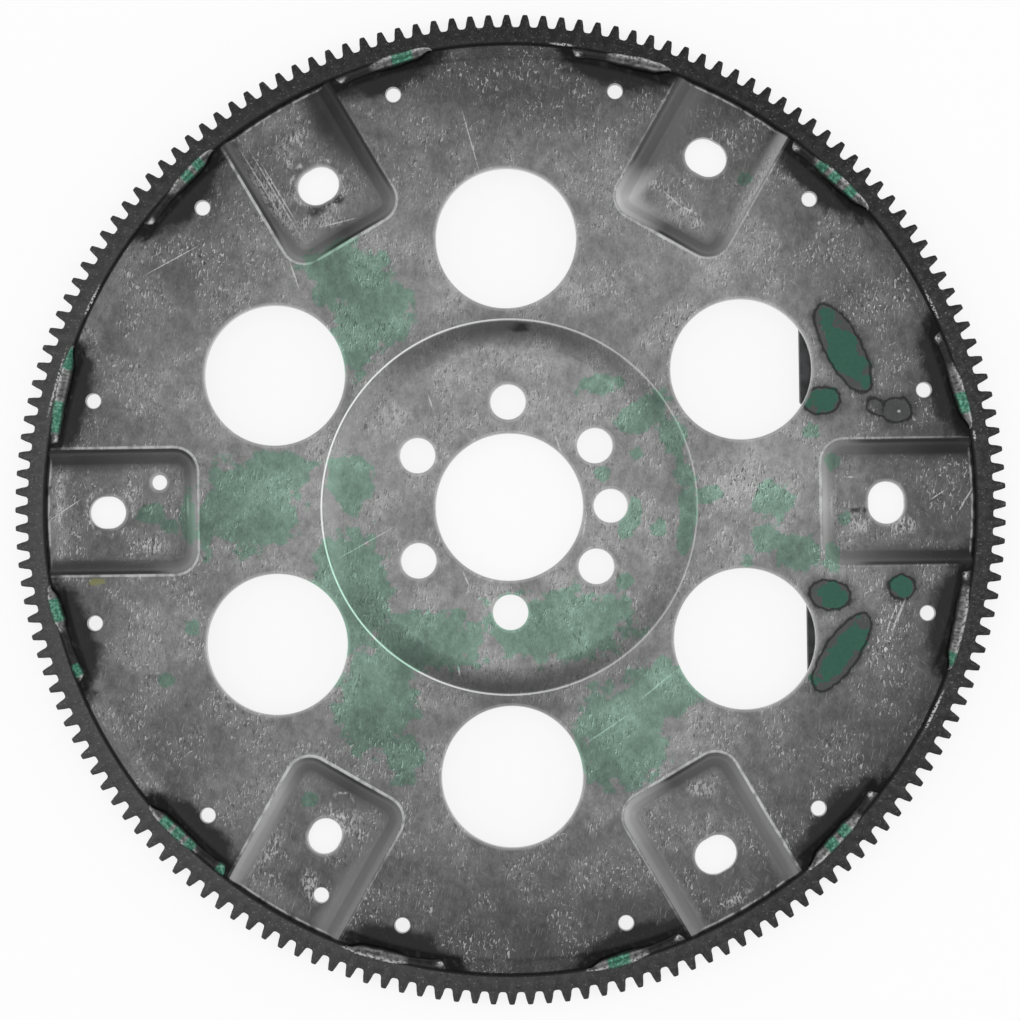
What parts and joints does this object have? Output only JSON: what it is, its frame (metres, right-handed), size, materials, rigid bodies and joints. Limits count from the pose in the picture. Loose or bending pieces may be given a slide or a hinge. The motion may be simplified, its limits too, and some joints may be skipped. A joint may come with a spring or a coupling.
{
  "type": "flexplate",
  "caption": "Pressed steel drive plate with a welded starter ring gear, sunk hub, sunk converter pads, round lightening holes and balance weights behind the web.",
  "frame": {"origin": "on the plate's axis, in the plane of the ring gear's rear face", "axes": "+Z along the axis towards the engine; +X along the converter pad that lies between the two balance weights"},
  "size_m": [0.3588, 0.3588, 0.0136],
  "materials": {
    "sheet_steel": "oiled cold-rolled sheet, mottled grey with green tints and dark heat marks",
    "gear_steel": "dark induction-hardened steel, dull",
    "weld_metal": "rippled weld bead, grey with a green tint",
    "weight_steel": "dark hot-rolled plate"
  },
  "bodies": {
    "root": {"flexplate_disc": "sheet_steel", "ring_gear": "gear_steel", "rim_weld_01": "weld_metal", "rim_weld_02": "weld_metal", "rim_weld_03": "weld_metal", "rim_weld_04": "weld_metal", "rim_weld_05": "weld_metal", "rim_weld_06": "weld_metal", "rim_weld_07": "weld_metal", "rim_weld_08": "weld_metal", "rim_weld_09": "weld_metal", "rim_weld_10": "weld_metal", "rim_weld_11": "weld_metal", "rim_weld_12": "weld_metal", "weight_weld_1": "weld_metal", "weight_weld_2": "weld_metal", "weight_weld_3": "weld_metal", "weight_weld_4": "weld_metal", "weight_weld_5": "weld_metal", "weight_weld_6": "weld_metal", "balance_weight_upper": "weight_steel", "balance_weight_lower": "weight_steel"}
  },
  "joints": []
}
